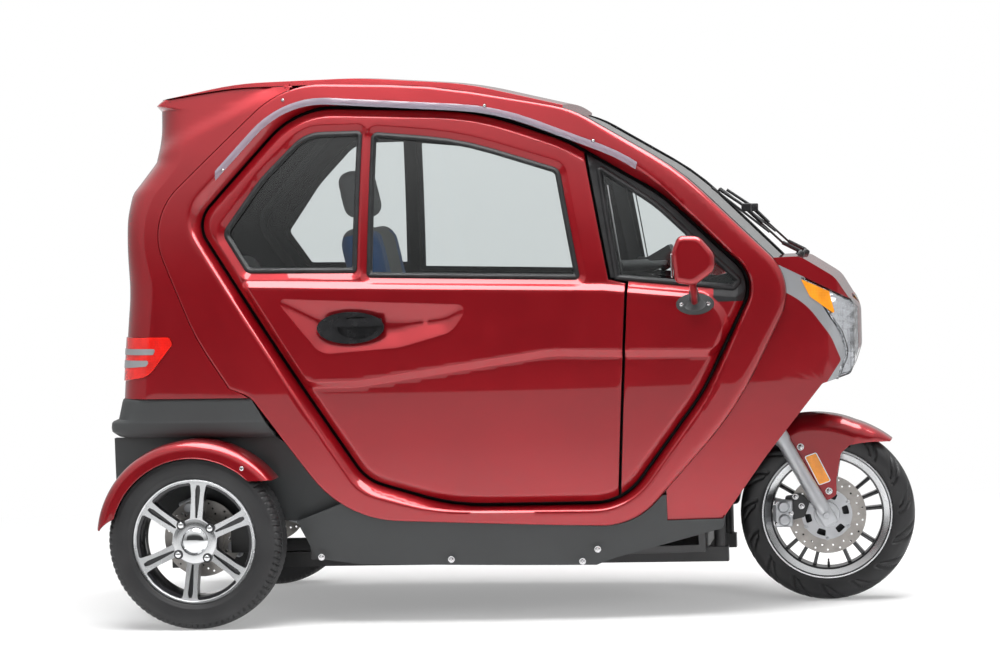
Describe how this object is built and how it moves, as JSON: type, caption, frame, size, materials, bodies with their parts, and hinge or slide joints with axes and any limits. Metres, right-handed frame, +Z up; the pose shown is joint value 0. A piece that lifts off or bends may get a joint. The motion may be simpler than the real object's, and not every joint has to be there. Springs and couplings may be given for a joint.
{
  "type": "three wheeled car",
  "caption": "Small enclosed electric tricycle with a hooped cabin, front-hinged doors, one steered front wheel and driven rear wheels.",
  "frame": {"origin": "on the ground under the middle of the vehicle's length and width", "axes": "+X forward, +Y to the vehicle's left, +Z up"},
  "size_m": [2.1615, 1.12, 1.4684],
  "materials": {
    "body_paint": "gloss metallic candy red",
    "dark_trim": "matte dark grey",
    "clear_glass": "clear",
    "smoked_strip": "translucent grey",
    "lamp_lens": "clear lens",
    "red_lens": "red and orange lens",
    "silver_trim": "satin silver",
    "tyre": "black rubber",
    "black_alloy": "gloss black with a machined lip",
    "disc_steel": "brushed",
    "fork_metal": "satin silver legs",
    "black_metal": "satin black",
    "interior": "grained black",
    "seat_cloth": "grey with blue panels",
    "battery_case": "plain case"
  },
  "bodies": {
    "body": {"side_ring_right": "body_paint", "side_ring_left": "body_paint", "front_panel_right": "body_paint", "front_panel_left": "body_paint", "quarter_glass": "clear_glass", "rain_visors": "smoked_strip", "roof_panel": "body_paint", "windshield": "clear_glass", "rear_body": "body_paint", "rear_glass": "clear_glass", "tail_lamps": "red_lens", "rear_bumper": "dark_trim", "sill_right": "dark_trim", "sill_left": "dark_trim", "rear_mudguards": "body_paint", "hood": "body_paint", "front_fascia": "body_paint", "headlamps": "lamp_lens", "lamp_bezels": "silver_trim", "floor_pan": "black_metal", "dashboard": "interior", "chassis_frame": "black_metal", "battery_box": "battery_case", "driver_seat": "seat_cloth", "rear_bench": "seat_cloth", "rear_axle": "black_metal", "mirrors": "body_paint", "wipers": "dark_trim"},
    "door_right_body": {"door_right": "body_paint", "door_right_glass": "clear_glass", "door_right_handle": "dark_trim"},
    "door_left_body": {"door_left": "body_paint", "door_left_glass": "clear_glass", "door_left_handle": "dark_trim"},
    "boot": {"boot_lid": "body_paint"},
    "steering": {"fork": "fork_metal", "handlebar": "black_metal", "front_fender": "body_paint"},
    "front_wheel": {"front_tyre": "tyre", "front_rim": "black_alloy", "front_disc": "disc_steel"},
    "rear_wheel_right": {"rear_tyre_right": "tyre", "rear_rim_right": "black_alloy"},
    "rear_wheel_left": {"rear_tyre_left": "tyre", "rear_rim_left": "black_alloy"}
  },
  "joints": [
    {"name": "door_right_hinge", "type": "hinge", "parent": "body", "child": "door_right_body", "pos_m": [0.3462, -0.454, 0.6], "axis": [0, 0, 1], "range_deg": [0, 70]},
    {"name": "door_left_hinge", "type": "hinge", "parent": "body", "child": "door_left_body", "pos_m": [0.3462, 0.454, 0.6], "axis": [0, 0, -1], "range_deg": [0, 70]},
    {"name": "boot_lid_hinge", "type": "hinge", "parent": "body", "child": "boot", "pos_m": [-1.0278, 0, 1.08], "axis": [0, 1, 0], "range_deg": [0, 75]},
    {"name": "steering_pivot", "type": "hinge", "parent": "body", "child": "steering", "pos_m": [0.81159, 0, 0.22163], "axis": [-0.4848, 0, 0.8746], "range_deg": [-40, 40]},
    {"name": "front_wheel_spin", "type": "hinge", "parent": "steering", "child": "front_wheel", "pos_m": [0.8422, 0, 0.2386], "axis": [0, 1, 0], "continuous": true},
    {"name": "rear_wheel_right_spin", "type": "hinge", "parent": "body", "child": "rear_wheel_right", "pos_m": [-0.8158, -0.49, 0.2365], "axis": [0, 1, 0], "continuous": true},
    {"name": "rear_wheel_left_spin", "type": "hinge", "parent": "body", "child": "rear_wheel_left", "pos_m": [-0.8158, 0.49, 0.2365], "axis": [0, 1, 0], "continuous": true}
  ]
}
